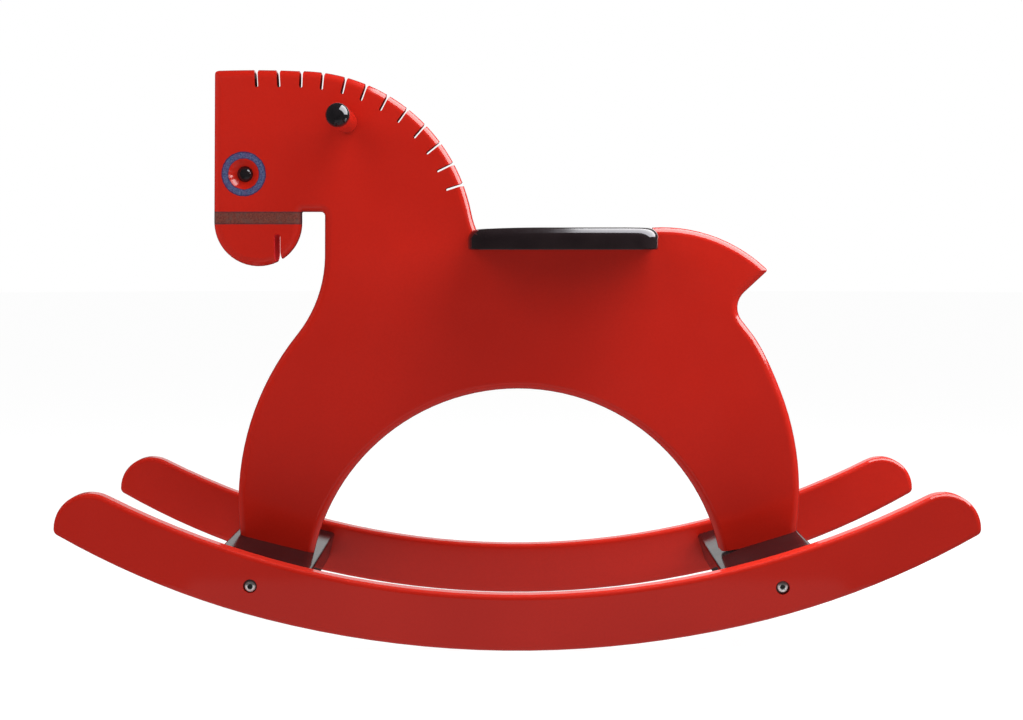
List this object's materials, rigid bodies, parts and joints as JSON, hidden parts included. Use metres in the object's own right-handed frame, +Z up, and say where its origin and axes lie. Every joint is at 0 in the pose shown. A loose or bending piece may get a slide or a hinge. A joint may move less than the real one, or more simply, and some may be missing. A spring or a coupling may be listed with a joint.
{
  "type": "rocking horse",
  "caption": "Flat lacquered wooden rocking horse on two curved runners, with a plank seat, a round handle through the head and a bead eye.",
  "frame": {"origin": "on the floor, midway between the runners, under the lowest point of their rolling edges", "axes": "+Z up; the horse looks along -X; +Y is the horse's right side"},
  "size_m": [0.8494, 0.3, 0.5441],
  "materials": {
    "red_lacquer": "gloss lacquer with painted eye ring and muzzle band",
    "black_lacquer": "gloss lacquer",
    "black_gloss": "polished",
    "bright_metal": "bright plated",
    "plain_beech": "bare wood"
  },
  "bodies": {
    "root": {"body_board": "red_lacquer", "rocker_left": "red_lacquer", "rocker_right": "red_lacquer", "handle_bar": "red_lacquer", "handle_cap_left": "black_gloss", "handle_cap_right": "black_gloss", "eye_bead": "black_gloss", "seat": "black_lacquer", "cross_board_front": "black_lacquer", "cross_board_rear": "black_lacquer", "rocker_bolts": "bright_metal", "barrel_nuts": "bright_metal", "foot_screws": "bright_metal", "foot_dowels": "plain_beech", "cross_board_dowels": "plain_beech", "seat_dowels": "plain_beech"}
  },
  "joints": []
}
